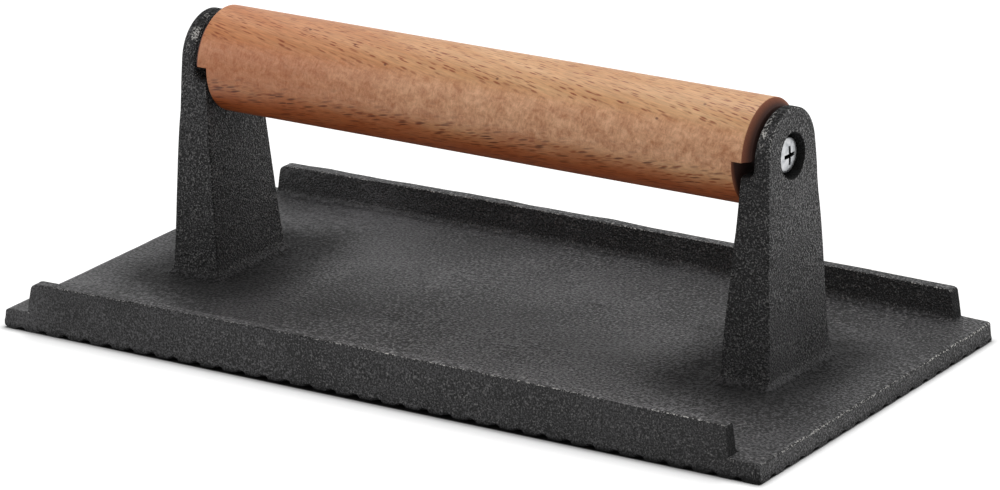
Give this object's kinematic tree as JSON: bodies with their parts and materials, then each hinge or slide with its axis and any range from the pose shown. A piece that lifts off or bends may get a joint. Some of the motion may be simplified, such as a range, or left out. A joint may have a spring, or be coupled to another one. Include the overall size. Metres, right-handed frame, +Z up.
{
  "type": "grill press",
  "caption": "Rectangular cast iron grill press with a ribbed underside, raised rails, tapered posts and a round wooden handle.",
  "frame": {"origin": "middle of the underside, on the plane of the rib crests that the press rests on", "axes": "+X along the handle, +Y across the plate, +Z up through the handle"},
  "size_m": [0.21, 0.11, 0.0705],
  "materials": {
    "seasoned_cast_iron": "sand cast and seasoned, matt, fine orange peel texture",
    "beech": "turned and sanded, thin clear lacquer",
    "zinc_plated_steel": "bright zinc plate",
    "turned_brass": "turned, bare"
  },
  "bodies": {
    "root": {"press_casting": "seasoned_cast_iron", "handle": "beech", "left_screw": "zinc_plated_steel", "right_screw": "zinc_plated_steel", "left_insert": "turned_brass", "right_insert": "turned_brass"}
  },
  "joints": []
}
